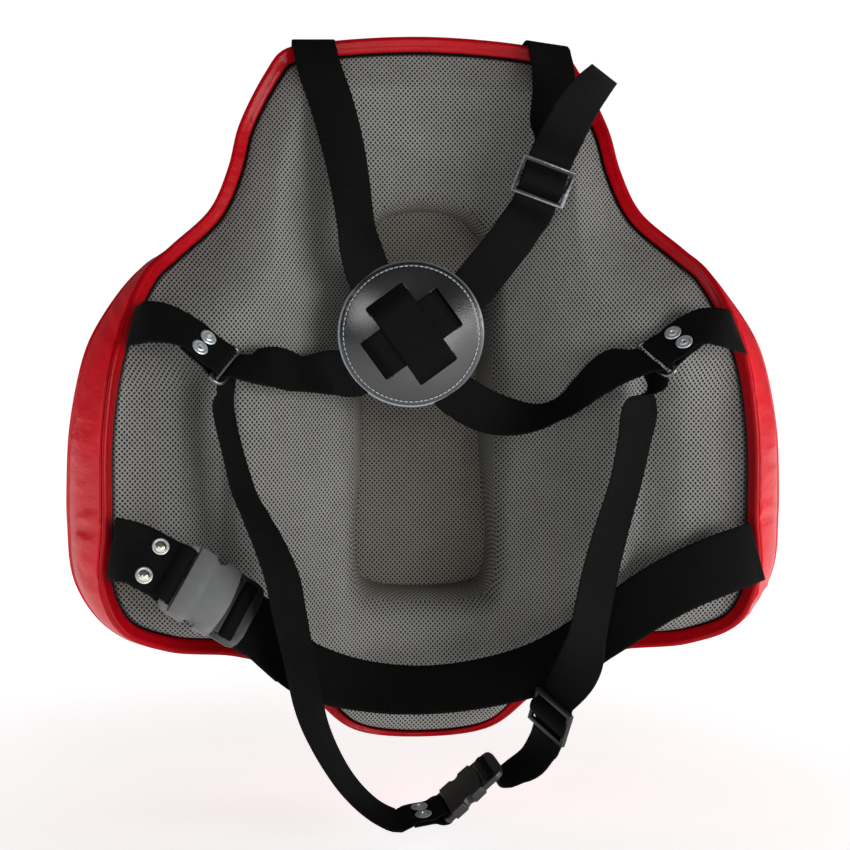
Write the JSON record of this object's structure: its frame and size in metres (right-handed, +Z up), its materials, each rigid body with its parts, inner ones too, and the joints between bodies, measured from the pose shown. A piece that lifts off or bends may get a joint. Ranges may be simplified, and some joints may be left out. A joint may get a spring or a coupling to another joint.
{
  "type": "boxing chest protector",
  "caption": "Padded boxing chest protector: curved red vinyl body, grey mesh lining with a breastbone recess, and a black webbing harness with a back plate, rings and buckles.",
  "frame": {"origin": "middle of the chest plane over the recess, level with the middle of the body", "axes": "+X across the chest to the right of the picture, +Y the way the wearer faces, +Z up"},
  "size_m": [0.489, 0.1952, 0.5329],
  "materials": {
    "red_vinyl": "glossy coated vinyl",
    "air_mesh": "knitted spacer mesh",
    "webbing": "woven ribbed webbing",
    "plate_leather": "satin, stitched",
    "slider_metal": "black, bare edges",
    "ring_steel": "dull steel wire",
    "buckle_plastic": "satin",
    "rivet_zinc": "zinc plated"
  },
  "bodies": {
    "root": {"cover": "red_vinyl", "edge_binding": "red_vinyl", "lining_pad": "air_mesh", "back_plate": "plate_leather", "cross_strap_left": "webbing", "cross_strap_right": "webbing", "shoulder_anchor_strap": "webbing", "side_tab_left": "webbing", "side_tab_right": "webbing", "waist_tab": "webbing", "waist_strap": "webbing", "shoulder_slider": "slider_metal", "ring_left": "ring_steel", "ring_right": "ring_steel", "loop_slider": "buckle_plastic", "waist_buckle_female": "buckle_plastic", "waist_buckle_male": "buckle_plastic", "loop_buckle_female": "buckle_plastic", "loop_buckle_male": "buckle_plastic", "rivet_side_left_upper": "rivet_zinc", "rivet_side_left_lower": "rivet_zinc", "rivet_side_right_upper": "rivet_zinc", "rivet_side_right_lower": "rivet_zinc", "rivet_waist_upper": "rivet_zinc", "rivet_waist_lower": "rivet_zinc", "rivet_loop_upper": "rivet_zinc", "rivet_loop_lower": "rivet_zinc"}
  },
  "joints": []
}
